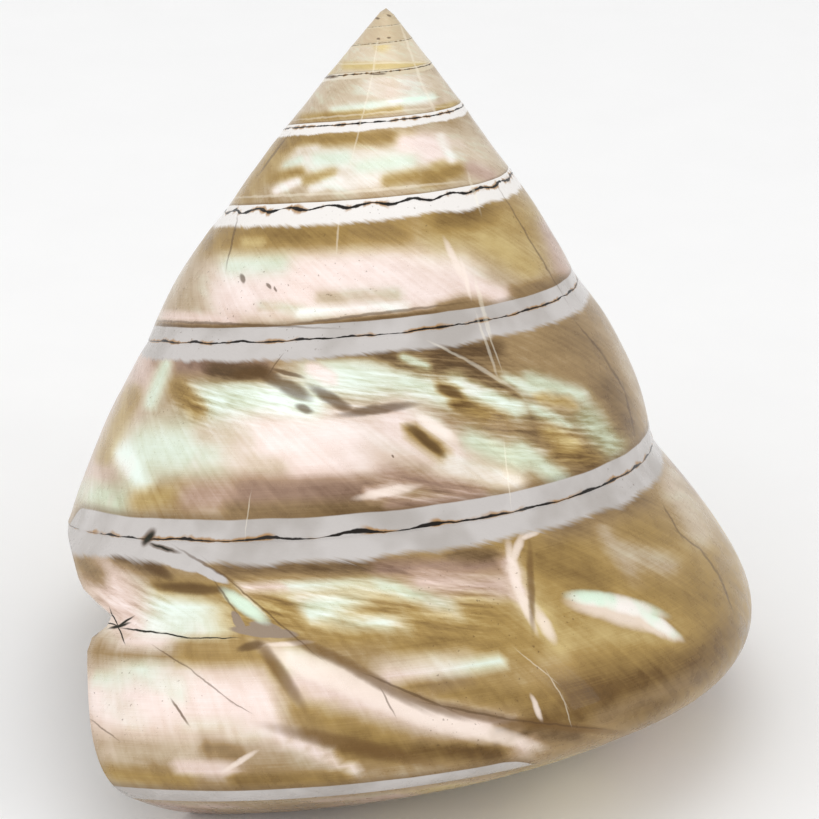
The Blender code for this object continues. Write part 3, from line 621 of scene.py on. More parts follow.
def shell_arrays():
    """The closed shell as arrays: vertices, quads and triangles with their corner values, and the
    values of each vertex. The values are the turn, the row as a share of the side, the growth line's
    turn, 1 for the hollow or 0, and the distances from the two borders."""
    lines = SIDE_LINES + 1
    rows = sheet_rows()
    foot = ATTACH_LINES + BASE_LINES
    last = foot + ATTACH_LINES
    wrap = COLUMNS_PER_TURN - LEAN_COLUMNS
    columns = round((LIP_TURN - FIRST_TURN) * COLUMNS_PER_TURN) + 1
    hollow_columns = round(HOLLOW_TURNS * COLUMNS_PER_TURN) + 1
    base_columns = hollow_columns + COLUMNS_PER_TURN
    turns = np.linspace(FIRST_TURN, LIP_TURN, columns)

    side_space, side_turn, side_grown, side_row = outside_grid(turns, rows[:lines])
    base_space, base_turn, base_grown, base_row = outside_grid(turns[-base_columns:],
                                                               rows[SIDE_LINES:])
    inner_grown, inner_row = np.meshgrid(turns[-hollow_columns:], rows, indexing="ij")
    inner_turn = growth_turn(inner_grown, inner_row)
    inner_space = to_space(inner_turn, inner_point(inner_turn, inner_row, inner_grown))

    side = numbered(columns, lines, 0)
    base = numbered(base_columns, last + 1, side.size)
    inner = numbered(hollow_columns, len(rows), side.size + base.size)
    side[:columns - wrap, -1] = side[wrap:, 0]
    base[:, 0] = side[-base_columns:, -1]
    base[-COLUMNS_PER_TURN - 1:, -1] = base[-1, -1]
    inner[:, 0] = base[LEAN_COLUMNS:LEAN_COLUMNS + hollow_columns, ATTACH_LINES]
    inner[:, -1] = base[:hollow_columns, foot]

    roof_corner = base_space[LEAN_COLUMNS:LEAN_COLUMNS + hollow_columns, ATTACH_LINES]
    first = int(np.searchsorted(rows, 1.0))
    rising = (rows[:first] / rows[first])[None, :, None]
    inner_space[:, :first] = (roof_corner[:, None] * (1.0 - rising)
                              + inner_space[:, first:first + 1] * rising)

    free_column = hollow_columns - 1
    covered = free_column + LEAN_COLUMNS
    lip = numbered(len(rows), ATTACH_LINES + 1, inner[-1, -2] + 2)
    lip_space = lip_points(side_space, base_space, inner_space, base_space[covered],
                           base_space[free_column], foot, rows)
    lip[:, 0] = np.concatenate([side[-1], base[-1, 1:]])
    lip[:, -1] = inner[-1]
    lip[0] = base[covered, :ATTACH_LINES + 1]
    lip[-1] = base[free_column, foot:][::-1]

    spaces = [grid.reshape(-1, 3) for grid in (side_space, base_space, inner_space, lip_space)]
    space = np.concatenate(spaces + [np.zeros((2, 3))])
    tip, hollow_end = len(space) - 2, len(space) - 1
    space[tip] = (0.0, 0.0, -TIP_DEPTH)
    space[base[-1, -1]] = (0.0, 0.0, -PIT_DEPTH)

    def values(turn, row, grown, hollow):
        """Corner values of one grid. Off the side, the distances to the borders are large."""
        borders = border_distances(turn, np.clip(row / SIDE_END, 0.0, 1.0))
        plain = (row.max(axis=1, keepdims=True) > SIDE_END) | (hollow > 0.0)
        borders = np.where(plain[..., None], FAR_FROM_BORDER, borders)
        return np.concatenate([np.stack([turn, row / SIDE_END, grown, hollow], axis=-1),
                               borders], axis=-1)

    side_values = values(side_turn, side_row, side_grown, np.zeros_like(side_turn))
    base_values = values(base_turn, base_row, base_grown, np.zeros_like(base_turn))
    inner_values = values(inner_turn, inner_row, inner_grown, np.ones_like(inner_turn))
    outer_edge = np.concatenate([side_values[-1], base_values[-1, 1:]])
    share = np.linspace(0.0, 1.0, ATTACH_LINES + 1)[None, :, None]
    lip_values = outer_edge[:, None] * (1.0 - share) + inner_values[-1][:, None] * share

    grids = ((side, side_values), (base[covered:, :ATTACH_LINES + 1],
                                   base_values[covered:, :ATTACH_LINES + 1]),
             (base[:, ATTACH_LINES:foot + 1], base_values[:, ATTACH_LINES:foot + 1]),
             (base[free_column:, foot:], base_values[free_column:, foot:]),
             (inner, inner_values), (lip, lip_values))
    quads = np.concatenate([cells(grid) for grid, _ in grids])
    corner_values = np.concatenate([cells(value) for _, value in grids])

    hollow_loop = np.concatenate([inner[0], base[0, ATTACH_LINES:foot][::-1],
                                  base[1:LEAN_COLUMNS, ATTACH_LINES]])
    tip_loop = np.concatenate([side[:wrap + 1, 0], side[0, 1:-1][::-1]])
    triangles = np.concatenate([fan(hollow_loop, hollow_end), fan(tip_loop, tip)])
    space[hollow_end] = space[hollow_loop].mean(axis=0)

    vertex_values = np.concatenate([grid.reshape(-1, 6) for grid in
                                    (base_values, inner_values, lip_values)])
    vertex_values = np.concatenate([side_values.reshape(-1, 6), vertex_values, np.zeros((2, 6))])
    vertex_values[tip] = side_values[0, 0]
    vertex_values[hollow_end] = inner_values[0, 0]
    fan_values = vertex_values[triangles]
    fan_values[..., 4:] = FAR_FROM_BORDER
    return space, quads, corner_values, triangles, fan_values, vertex_values


def lip_points(side_space, base_space, inner_space, suture_edge, pit_edge, foot, rows):
    """The lip's strip: straight across from the outer edge to the inner one, rounded outwards as
    a parabola. Its first and last lines bend to meet the whorl above and the pit."""
    outer = np.concatenate([side_space[-1], base_space[-1, 1:]])
    behind = np.concatenate([side_space[-2], base_space[-2, 1:]])
    inner = inner_space[-1]
    onward = outer - behind
    size = np.linalg.norm(onward, axis=-1, keepdims=True)
    onward = np.divide(onward, size, out=np.zeros_like(onward), where=size > 0.0)
    share = np.linspace(0.0, 1.0, ATTACH_LINES + 1)[None, :, None]
    rounding = LIP_ROUNDING + (LIP_END_ROUNDING - LIP_ROUNDING) * smooth_step(rows, BASE_END, PIT_END)
    space = (outer[:, None] * (1.0 - share) + inner[:, None] * share
             + onward[:, None] * rounding[:, None, None] * 4.0 * share * (1.0 - share))
    first = suture_edge[:ATTACH_LINES + 1] - space[0]
    final = pit_edge[foot:][::-1] - space[-1]
    at_first = 1.0 - smooth_step(rows, 0.0, LIP_BEND_ROWS)
    at_final = smooth_step(rows, BASE_END, PIT_END)
    return space + at_first[:, None, None] * first + at_final[:, None, None] * final


def stand_on_floor(space):
    """Leans the points as the CAD shell is leaned, puts the tip at the top of its box and the
    middle over the box's middle, and wears off what is below the floor."""
    stood = leaned(space)
    shift = (SHELL_LOW + SHELL_HIGH) / 2.0 - (stood.min(axis=0) + stood.max(axis=0)) / 2.0
    shift[2] = SHELL_HIGH[2] - stood[:, 2].max()
    stood = stood + shift
    stood[:, 2] = np.maximum(stood[:, 2], SHELL_LOW[2])
    return stood, shift


def picture_places(space, shift):
    """Where points fall in the photograph, across and down in its pixels: each is carried to the
    camera's directions and divided by its depth."""
    place, directions = camera_frame(shift)
    seen = (space - place) @ directions.T
    magnified = PICTURE_PIXELS * CAMERA_LENS / SENSOR_WIDTH / -seen[:, 2:]
    return PICTURE_PIXELS / 2.0 + seen[:, :2] * magnified * np.array([1.0, -1.0])


def make_shell(material):
    """The shell as one closed mesh, with its maps and painted fields, and the shift it was stood by."""
    space, quads, corner_values, triangles, fan_values, vertex_values = shell_arrays()
    pinched = quads[:, 2] == quads[:, 3]
    whole, split = quads[~pinched], quads[pinched][:, :3]
    faces = whole.tolist() + split.tolist() + triangles.tolist()
    maps = np.concatenate([corner_values[~pinched].reshape(-1, 6),
                           corner_values[pinched][:, :3].reshape(-1, 6),
                           fan_values.reshape(-1, 6)])
    used = np.unique(np.concatenate([quads.ravel(), triangles.ravel()]))
    stood, shift = stand_on_floor(space[used])
    order = np.zeros(len(space), dtype=int)
    order[used] = np.arange(len(used))
    mesh = bpy.data.meshes.new("polished shell")
    mesh.from_pydata(stood.tolist(), [], [order[face].tolist() for face in faces])
    for name, first in (("coil", 0), ("growth", 2), ("borders", 4)):
        layer = mesh.uv_layers.new(name=name)
        layer.uv.foreach_set("vector", maps[:, first:first + 2].astype(np.float32).ravel())
    places = picture_places(stood, shift)
    layer = mesh.uv_layers.new(name="picture")
    corners = np.concatenate([order[np.array(group).ravel()]
                              for group in (whole, split, triangles)])
    layer.uv.foreach_set("vector", (places[corners] / PICTURE_PIXELS).astype(np.float32).ravel())
    turn, share, _, hollow = vertex_values[used, :4].T
    facing = smooth_step(np.cos(2.0 * math.pi * (turn - FRONT_TURN)), *FRONT_FADE)
    fields = painted(places, turn)
    fields["front"] = np.where((share <= 1.0) & (hollow < 0.5), facing, 0.0)
    for name, field in fields.items():
        layer = mesh.attributes.new(name, "FLOAT", "POINT")
        layer.data.foreach_set("value", field.astype(np.float32))
    body = bmesh.new()
    body.from_mesh(mesh)
    bmesh.ops.recalc_face_normals(body, faces=body.faces)
    body.to_mesh(mesh)
    body.free()
    mesh.shade_smooth()
    mesh.materials.append(material)
    return add_object("polished_shell", mesh), shift


def linear(red, green, blue):
    """A colour given as 0 to 255 on screen, as linear light, by the sRGB curve: a straight line near
    black, and a power of 2.4 above it."""
    screen = np.array([red, green, blue]) / 255.0
    light = np.where(screen <= 0.04045, screen / 12.92, ((screen + 0.055) / 1.055) ** 2.4)
    return (*light.tolist(), 1.0)


# The nacre's colours from its darkest tone to its brightest, for each hue
TONE_STEPS = (0.0, 0.25, 0.5, 0.75, 1.0)
HUES = ("mint", "pink", "gold")
TONES = {
    "plain": ((40, 28, 17), (98, 74, 45), (160, 133, 93), (212, 196, 172), (251, 246, 240)),
    "mint": ((34, 34, 20), (96, 84, 52), (158, 152, 112), (206, 214, 188), (238, 250, 240)),
    "pink": ((50, 32, 26), (112, 84, 66), (174, 144, 124), (226, 202, 190), (255, 240, 235)),
    "gold": ((46, 30, 10), (106, 78, 38), (168, 138, 80), (214, 193, 136), (253, 244, 216)),
}
PORCELAIN = linear(198, 193, 190)
PORCELAIN_SHADE = linear(178, 172, 167)
PORCELAIN_BRIGHT = linear(238, 234, 230)
TIP_CREAM = linear(214, 200, 172)
SLATE = linear(150, 132, 114)
SEAM_DARK = linear(22, 16, 10)
SEAM_GOLD = linear(166, 118, 44)
# Colour of the painted highlights
HIGHLIGHT_PINK = linear(252, 236, 224)
# Colour of the painted shade along the folds
FOLD_SHADE_BROWN = linear(112, 82, 44)
# Colour of the brown blotches, and of the painted shade along the bottom of each whorl's side
BLOTCH_AND_SHADE_BROWN = linear(92, 66, 34)
CRACK_BLACK = linear(30, 30, 16)
CREASE_BROWN = linear(86, 62, 36)
# Colour of the cream threads and of the painted glints
THREAD_AND_GLINT_CREAM = linear(255, 247, 228)
GLEAM_WHITE = linear(255, 250, 245)
GLEAM_MINT = linear(226, 250, 230)

# Noise through the shell's space, called soft, fine, grit and cloud: its scale, detail and roughness,
# and for cloud also its distortion
SPACE_NOISES = ((90.0, 3.0, 0.55), (420.0, 4.0, 0.6), (2400.0, 1.0, 0.5), (34.0, 2.0, 0.5, 0.6))

# Noise wound round the shell, called broad, fold shading, combed and brushed: its waves a turn, its
# waves down the side, its slant and its detail, and then the growth lines' noise. The fold shading is
# painted light and shade of soft slanting folds.
WOUND_NOISES = ((5.0, 3.2, 0.8), (14.0, 7.0, 3.0, 2.0), (34.0, 44.0, 2.0), (40.0, 360.0, 0.0, 2.0))
WOUND_ROUGHNESS = 0.6
LINES_PER_TURN = 260.0
LINE_WAVES_DOWN = 2.0
LINE_DETAIL = 3.0

# Noise along the suture: its waves a turn, where it starts, and its detail
WOBBLE_NOISE = (22.0, 0.0)
JITTER_NOISE = (90.0, 0.6)
THICKNESS_NOISE = (60.0, 0.0)
GILT_NOISE = (45.0, 0.3, 2.0)

# The tones away from the painted front, in the hollow and on the first whorls, and how far each
# noise pushes the tone up or down; the fold shading's push is painted light and shade.
OWN_TONE = 0.57
HOLLOW_TONE = 0.84
EARLY_TONE = 0.78
EARLY_GOLD = 0.35
NOISE_GAIN = 5.0
BROAD_PUSH = 0.28
CLOUD_PUSH = 0.14
FOLD_SHADING_PUSH = 0.055
BRUSH_PUSH = 0.03
FINE_PUSH = 0.035
LINE_PUSH = 0.035
COMB_PUSH = 0.2

# Ramps: the values at which each one starts and ends, and then what it gives at these two, where
# that isn't 0 and 1
EARLY_TURNS = (2.2, 0.8, 0.0, 0.7)
PLAY_TONES = (0.5, 0.85, 0.0, 0.45)
PLAY_NOISE = (0.5, 0.66)
HUE_NOISE = {"mint": (0.53, 0.64), "pink": (0.44, 0.58), "gold": (0.48, 0.6)}
LOWER_EDGE = (1.13, 0.87)
UPPER_EDGE = (1.05, 0.97)
BAND_SHADOW = (1.5, 1.02, 0.0, 0.45)
SHADE_NOISE = (0.4, 0.62)
BRIGHT_BAND_TURNS = (5.2, 4.3)
CREAM_BAND_TURNS = (2.9, 2.1)
GLEAM_NOISE = (0.52, 0.62)
SEAM_WAVE_REACH = (0.5, 0.1, 0.02, 0.14)
SEAM_THICKNESS = (0.36, 0.66, 0.03, 0.13)
EARLY_THICKNESS = (5.1, 4.3, 0.62, 1.7)
GILT_PATCHES = (0.42, 0.58)
PIT_NOISE = (0.71, 0.76, 0.0, 0.5)
PIT_PATCHES = (0.5, 0.6)
ROUGHNESS = (0.3, 0.7, 0.22, 0.40)

# The bands' edges and the seam's line: how far they waver, in widths of the porcelain band, the even
# waves a turn and the turn where these are highest, what a width above the suture counts for, the
# seam's dark core and its gilt rim as shares of its thickness, and the rim's strength
BAND_FEATHER = 0.35
LOWER_WOBBLE = 0.7
UPPER_WOBBLE = 0.3
SEAM_WAVES_PER_TURN = 22.0
WAVY_SEAM_TURN = 4.3
SEAM_JITTER = 0.14
ABOVE_WEIGHT = 0.45
SEAM_CORE = 0.5
RIM_WIDTH = 2.2
RIM_STRENGTH = 0.8

# The drawn details: the scale of the noise that bends them and how far, as a share of the picture,
# and then each kind's soft edge and strength, with its colour for those that are laid on in order
# under the porcelain and over the seam. The painted highlight and the painted fold shade are painted
# light and shade, and the threads also hold painted glints.
BEND_SCALE = 700.0
BEND = 0.0035
PORCELAIN_SOFTNESS = 0.16
SLATE_SOFTNESS = 0.12
GLEAM_COVER = (0.65, 0.85)
LOWER_DETAILS = (
    ("bright fold", 0.95, 0.72, HIGHLIGHT_PINK), ("dark fold", 0.8, 0.75, FOLD_SHADE_BROWN),
    ("blotch", 0.5, 0.8, BLOTCH_AND_SHADE_BROWN),
)
UPPER_DETAILS = (
    ("crease", 0.6, 0.6, CREASE_BROWN), ("thread", 0.7, 0.3, THREAD_AND_GLINT_CREAM),
    ("speck", 0.4, 0.75, CREASE_BROWN), ("crack", 0.5, 1.0, CRACK_BLACK),
)

# The polish: the share of metal off the porcelain, the shader's gloss and its clear coat, how much
# of the bump the growth lines are, and the bump's strength and depth
METAL_SHARE = 0.15
POLISH = {"Specular IOR Level": 0.12, "Coat Weight": 0.35, "Coat Roughness": 0.05,
          "Coat IOR": 1.35}
LINE_RELIEF = 0.2
BUMP_STRENGTH = 0.3
BUMP_DEPTH = 0.0004

# The studio floor: its reach to each side, in front and behind, its curve's radius and the rise
# beyond that, in metres, how many lines it has, and where along them the curve starts and ends
FLOOR_SIDE = 2.6
FLOOR_FRONT = 1.6
FLOOR_BACK = 1.1
FLOOR_CURVE = 0.9
FLOOR_RISE = 1.2
FLOOR_LINES = 61
CURVE_FROM = 0.5
CURVE_TO = 0.9
FLOOR_GREYS = ((0.9, 0.9, 0.9, 1.0), (0.93, 0.93, 0.93, 1.0))
FLOOR_GRAIN = (60.0, 3.0)
FLOOR_ROUGHNESS = 0.7

# The surround's light, the point that the softboxes face, and their places, widths, heights and watts
WORLD_STRENGTH = 0.86
LAMP_AIM = (0.0, 0.0, 0.04)
SOFTBOXES = {
    "left softbox": ((-0.55, -0.35, 0.45), 0.6, 0.8, 1.1),
    "right softbox": ((0.6, -0.3, 0.35), 0.12, 0.5, 0.5),
    "top softbox": ((0.0, 0.1, 0.8), 0.5, 0.5, 0.8),
}


class Graph:
    """Short ways to add nodes to a node tree and join them."""

    def __init__(self, tree):
        self.tree = tree

    def node(self, kind, **settings):
        """A new node with the given settings."""
        made = self.tree.nodes.new(kind)
        for name, value in settings.items():
            setattr(made, name, value)
        return made

    def put(self, socket, value):
        """Joins an output to the socket, or sets the socket's own value."""
        if isinstance(value, bpy.types.NodeSocket):
            self.tree.links.new(value, socket)
        else:
            socket.default_value = value

    def math(self, operation, first, second=0.0, third=None):
        """The result of a Math node."""
        made = self.node("ShaderNodeMath", operation=operation)
        self.put(made.inputs[0], first)
        self.put(made.inputs[1], second)
        if third is not None:
            self.put(made.inputs[2], third)
        return made.outputs[0]

    def ramp(self, value, low, high, to_low=0.0, to_high=1.0):
        """Carries low..high over to to_low..to_high, level at both ends and held beyond."""
        made = self.node("ShaderNodeMapRange", interpolation_type="SMOOTHSTEP", clamp=False)
        for socket, item in zip(made.inputs, (value, low, high, to_low, to_high)):
            self.put(socket, item)
        return made.outputs[0]

    def mix(self, share, first, second):
        """The first colour, and the second one over it by its share."""
        made = self.node("ShaderNodeMix", data_type="RGBA")
        self.put(made.inputs[0], share)
        self.put(made.inputs[6], first)
        self.put(made.inputs[7], second)
        return made.outputs[2]

    def blend(self, share, first, second):
        """The first value, and the second one over it by its share."""
        made = self.node("ShaderNodeMix", data_type="FLOAT")
        for socket, item in zip(made.inputs[0:1] + made.inputs[2:4], (share, first, second)):
            self.put(socket, item)
        return made.outputs[0]

    def vector(self, across, down, third=0.0):
        """A vector from three values."""
        made = self.node("ShaderNodeCombineXYZ")
        for socket, item in zip(made.inputs, (across, down, third)):
            self.put(socket, item)
        return made.outputs[0]

    def vector_math(self, operation, *items):
        """The result of a Vector Math node."""
        made = self.node("ShaderNodeVectorMath", operation=operation)
        for socket, item in zip(made.inputs, items):
            self.put(socket, item)
        return made.outputs["Value" if operation in ("LENGTH", "DOT_PRODUCT") else "Vector"]

    def noise(self, vector, scale, detail=2.0, roughness=0.5, distortion=0.0, output="Fac"):
        """Noise at a vector, about 0.3 to 0.7, as a value or as a colour."""
        made = self.node("ShaderNodeTexNoise")
        self.put(made.inputs["Vector"], vector)
        for name, item in (("Scale", scale), ("Detail", detail), ("Roughness", roughness),
                           ("Distortion", distortion)):
            made.inputs[name].default_value = item
        return made.outputs[output]

    def parts(self, vector):
        """The first two parts of a vector."""
        made = self.node("ShaderNodeSeparateXYZ")
        self.put(made.inputs[0], vector)
        return made.outputs[0], made.outputs[1]

    def map_values(self, name):
        """The two values of a UV map."""
        return self.parts(self.node("ShaderNodeUVMap", uv_map=name).outputs[0])

    def field(self, name):
        """A mesh attribute's value."""
        return self.node("ShaderNodeAttribute", attribute_name=name).outputs["Fac"]


def new_material(name):
    """A new material with its graph, its shader and the place on the object as a vector."""
    material = bpy.data.materials.new(name)
    material.use_nodes = True
    g = Graph(material.node_tree)
    shader = material.node_tree.nodes["Principled BSDF"]
    return material, g, shader, g.node("ShaderNodeTexCoord").outputs["Object"]


def add_object(name, data):
    """A new object of the scene that shows the data."""
    made = bpy.data.objects.new(name, data)
    bpy.context.scene.collection.objects.link(made)
    return made


def nacre_tones(g, tone, hues):
    """The nacre's colour at a tone: its plain colours, and over them each hue by its share."""
    colour = None
    for name, shades in TONES.items():
        ladder = g.node("ShaderNodeValToRGB")
        stops = ladder.color_ramp.elements
        for _ in TONE_STEPS[2:]:
            stops.new(0.5)
        for stop, place, shade in zip(stops, TONE_STEPS, shades):
            stop.position = place
            stop.color = linear(*shade)
        g.put(ladder.inputs[0], tone)
        toned = ladder.outputs[0]
        colour = toned if colour is None else g.mix(hues[name], colour, toned)
    return colour


def nearest_reach(g, place, strokes):
    """The square of the reach of the nearest stroke: 1 on its outline, which is a long ellipse.

    A stroke's squared reach is a quadratic in the place's two parts, so it is the sum of two dot
    products: with their squares and product, and with the parts themselves and 1.
    """
    across, down = g.parts(place)
    squares = g.vector(g.math("MULTIPLY", across, across), g.math("MULTIPLY", across, down),
                       g.math("MULTIPLY", down, down))
    linear_parts = g.vector(across, down, 1.0)
    nearest = None
    for x, y, end_x, end_y, half_width in strokes:
        start, end = np.array([x, y]) / PICTURE_PIXELS, np.array([end_x, end_y]) / PICTURE_PIXELS
        run = np.linalg.norm(end - start)
        long_way = (end - start) / run
        wide_way = np.array([-long_way[1], long_way[0]])
        width = half_width / PICTURE_PIXELS
        axes = np.stack([long_way / (STROKE_OVERLAP * run / 2.0 + width), wide_way / width])
        form = axes.T @ axes
        middle = (start + end) / 2.0
        slope = -2.0 * form @ middle
        reach = g.math("ADD", g.vector_math("DOT_PRODUCT", squares,
                                            (form[0, 0], 2.0 * form[0, 1], form[1, 1])),
                       g.vector_math("DOT_PRODUCT", linear_parts,
                                     (slope[0], slope[1], middle @ form @ middle)))
        nearest = reach if nearest is None else g.math("MINIMUM", nearest, reach)
    return nearest


def nacre_material():
    """Polished nacre: a tone painted on the front and grown at random elsewhere, carried over to
    colours, with porcelain bands and a dark seam at the suture, cracks, creases and growth lines. The
    painted tone holds painted highlights, reflections and shade besides the nacre's own colour."""
    material, g, shader, place = new_material("nacre")
    turn, across = g.map_values("coil")
    grown, hollow = g.map_values("growth")
    below, above = g.map_values("borders")
    front = g.field("front")

    def spiral_noise(along, down, slant, detail=3.0):
        """Noise with so many waves a turn and down the side, slanted down with the turn."""
        slanted = g.math("MULTIPLY_ADD", turn, slant, across)
        return g.noise(g.vector(g.math("MULTIPLY", turn, along), g.math("MULTIPLY", slanted, down)),
                       1.0, detail, WOUND_ROUGHNESS)

    soft, fine, grit, cloud = (g.noise(place, *settings) for settings in SPACE_NOISES)
    broad, fold_shading, combed, brushed = (spiral_noise(*settings) for settings in WOUND_NOISES)
    lines = g.noise(g.vector(g.math("MULTIPLY", grown, LINES_PER_TURN),
                             g.math("MULTIPLY", across, LINE_WAVES_DOWN)),
                    1.0, LINE_DETAIL, WOUND_ROUGHNESS)

    def about(noise, size):
        """A noise as a push up or down by about a size."""
        return g.math("MULTIPLY_ADD", noise, NOISE_GAIN * size, -0.5 * NOISE_GAIN * size)

    own_tone = g.math("ADD", about(broad, BROAD_PUSH), about(cloud, CLOUD_PUSH))
    own_tone = g.blend(hollow, g.math("ADD", own_tone, OWN_TONE), HOLLOW_TONE)
    tone = g.blend(front, own_tone, g.field("tone"))
    # Painted light and shade of soft folds, with the brushing, the grain and the growth lines on top.
    push = g.math("ADD", about(fold_shading, FOLD_SHADING_PUSH), about(brushed, BRUSH_PUSH))
    push = g.math("ADD", push, g.math("ADD", about(fine, FINE_PUSH), about(lines, LINE_PUSH)))
    streaked = g.math("MULTIPLY", g.field("streaked"), front)
    push = g.math("ADD", push, g.math("MULTIPLY", about(combed, COMB_PUSH), streaked))
    tone = g.math("ADD", tone, push)
    early = g.ramp(turn, *EARLY_TURNS)
    tone = g.blend(early, tone, EARLY_TONE)

    bright = g.ramp(tone, *PLAY_TONES)
    mint_play = g.math("MULTIPLY", bright, g.ramp(fold_shading, *PLAY_NOISE))
    pink_play = g.math("MULTIPLY", bright, g.ramp(soft, *PLAY_NOISE))
    sources = {"mint": broad, "pink": soft, "gold": cloud}
    own_hues = {name: g.ramp(noise, *HUE_NOISE[name]) for name, noise in sources.items()}
    hues = {name: g.blend(front, own, g.field(name)) for name, own in own_hues.items()}
    hues["mint"] = g.math("MAXIMUM", hues["mint"], mint_play)
    hues["pink"] = g.math("MAXIMUM", hues["pink"], pink_play)
    hues["gold"] = g.math("MAXIMUM", hues["gold"], g.math("MULTIPLY", early, EARLY_GOLD))
    colour = nacre_tones(g, tone, hues)

    at_seam = g.math("ADD", turn, g.math("GREATER_THAN", across, 0.5))

    def seam_noise(waves, start, detail=3.0):
        """Noise along the suture, the same for the whorl above it and the whorl below it."""
        return g.noise(g.vector(g.math("MULTIPLY", at_seam, waves), start), 1.0, detail)

    wobble = g.math("SUBTRACT", seam_noise(*WOBBLE_NOISE), 0.5)
    jitter = g.math("SUBTRACT", seam_noise(*JITTER_NOISE), 0.5)
    feather = g.math("MULTIPLY", g.math("SUBTRACT", lines, 0.5), BAND_FEATHER)
    lower_edge = g.math("ADD", g.math("MULTIPLY_ADD", wobble, LOWER_WOBBLE, below), feather)
    lower = g.ramp(lower_edge, *LOWER_EDGE)
    upper = g.ramp(g.math("MULTIPLY_ADD", wobble, UPPER_WOBBLE, above), *UPPER_EDGE)
    band = g.math("MAXIMUM", lower, upper)
    # Painted shade: darker brown along the bottom of each whorl's side, above the porcelain band at the
    # keel.
    shadow = g.ramp(g.math("MULTIPLY_ADD", wobble, UPPER_WOBBLE, above), *BAND_SHADOW)
    colour = g.mix(shadow, colour, BLOTCH_AND_SHADE_BROWN)

    bent = g.vector_math("MULTIPLY_ADD", g.noise(place, BEND_SCALE, output="Color"),
                         (BEND, BEND, 0.0),
                         g.node("ShaderNodeUVMap", uv_map="picture").outputs[0])
    bent = g.vector_math("SUBTRACT", bent, (BEND / 2.0, BEND / 2.0, 0.0))

    def detail(name, softness, strength=1.0):
        """How strongly the strokes of one kind of detail cover the front."""
        reach = nearest_reach(g, bent, DETAILS[name])
        cover = g.ramp(reach, (1.0 + softness) ** 2, (1.0 - softness) ** 2, 0.0, strength)
        return g.math("MULTIPLY", cover, front)

    for name, softness, strength, shade in LOWER_DETAILS:
        colour = g.mix(detail(name, softness, strength), colour, shade)
    white = g.mix(g.ramp(soft, *SHADE_NOISE), PORCELAIN, PORCELAIN_SHADE)
    white = g.mix(g.ramp(at_seam, *BRIGHT_BAND_TURNS), white, PORCELAIN_BRIGHT)
    white = g.mix(g.ramp(at_seam, *CREAM_BAND_TURNS), white, TIP_CREAM)
    band = g.math("MAXIMUM", band, detail("porcelain", PORCELAIN_SOFTNESS))
    colour = g.mix(band, colour, white)
    colour = g.mix(detail("slate", SLATE_SOFTNESS), colour, SLATE)
    lit = g.mix(g.ramp(soft, *GLEAM_NOISE), GLEAM_MINT, GLEAM_WHITE)
    colour = g.mix(detail("gleam", *GLEAM_COVER), colour, lit)

    phase = g.math("MULTIPLY", at_seam, 2.0 * math.pi * SEAM_WAVES_PER_TURN)
    from_wavy = g.math("ABSOLUTE", g.math("SUBTRACT", at_seam, WAVY_SEAM_TURN))
    waves = g.math("MULTIPLY", g.math("SINE", phase), g.ramp(from_wavy, *SEAM_WAVE_REACH))
    shift = g.math("ADD", g.math("MULTIPLY_ADD", wobble, UPPER_WOBBLE, waves),
                   g.math("MULTIPLY", jitter, SEAM_JITTER))
    low_side = g.math("ABSOLUTE", g.math("SUBTRACT", below, shift))
    high_side = g.math("ABSOLUTE", g.math("MULTIPLY_ADD", above, ABOVE_WEIGHT, shift))
    high_side = g.math("ADD", high_side, g.ramp(turn, *SEAM_END_TURNS))
    thickness = g.ramp(seam_noise(*THICKNESS_NOISE), *SEAM_THICKNESS)
    thickness = g.math("MULTIPLY", thickness, g.ramp(at_seam, *EARLY_THICKNESS))
    near = g.math("MINIMUM", low_side, high_side)
    seam = g.ramp(near, thickness, g.math("MULTIPLY", thickness, SEAM_CORE))
    gilt = g.ramp(seam_noise(*GILT_NOISE), *GILT_PATCHES)
    rim = g.ramp(near, g.math("MULTIPLY", thickness, RIM_WIDTH), thickness)
    rim = g.math("MULTIPLY", rim, gilt)
    colour = g.mix(g.math("MULTIPLY", rim, RIM_STRENGTH), colour, SEAM_GOLD)
    colour = g.mix(seam, colour, SEAM_DARK)
    for name, softness, strength, shade in UPPER_DETAILS:
        colour = g.mix(detail(name, softness, strength), colour, shade)
    pits = g.math("MULTIPLY", g.ramp(grit, *PIT_NOISE), g.ramp(cloud, *PIT_PATCHES))
    colour = g.mix(pits, colour, CREASE_BROWN)
    g.put(shader.inputs["Base Color"], colour)

    metal = g.math("MULTIPLY", g.math("SUBTRACT", 1.0, band), METAL_SHARE)
    g.put(shader.inputs["Metallic"], metal)
    g.put(shader.inputs["Roughness"], g.ramp(fine, *ROUGHNESS))
    for name, value in POLISH.items():
        shader.inputs[name].default_value = value

    height = g.math("MULTIPLY_ADD", lines, LINE_RELIEF, soft)
    bump = g.node("ShaderNodeBump")
    bump.inputs["Strength"].default_value = BUMP_STRENGTH
    bump.inputs["Distance"].default_value = BUMP_DEPTH
    g.put(bump.inputs["Height"], height)
    g.put(shader.inputs["Normal"], bump.outputs[0])
    return material


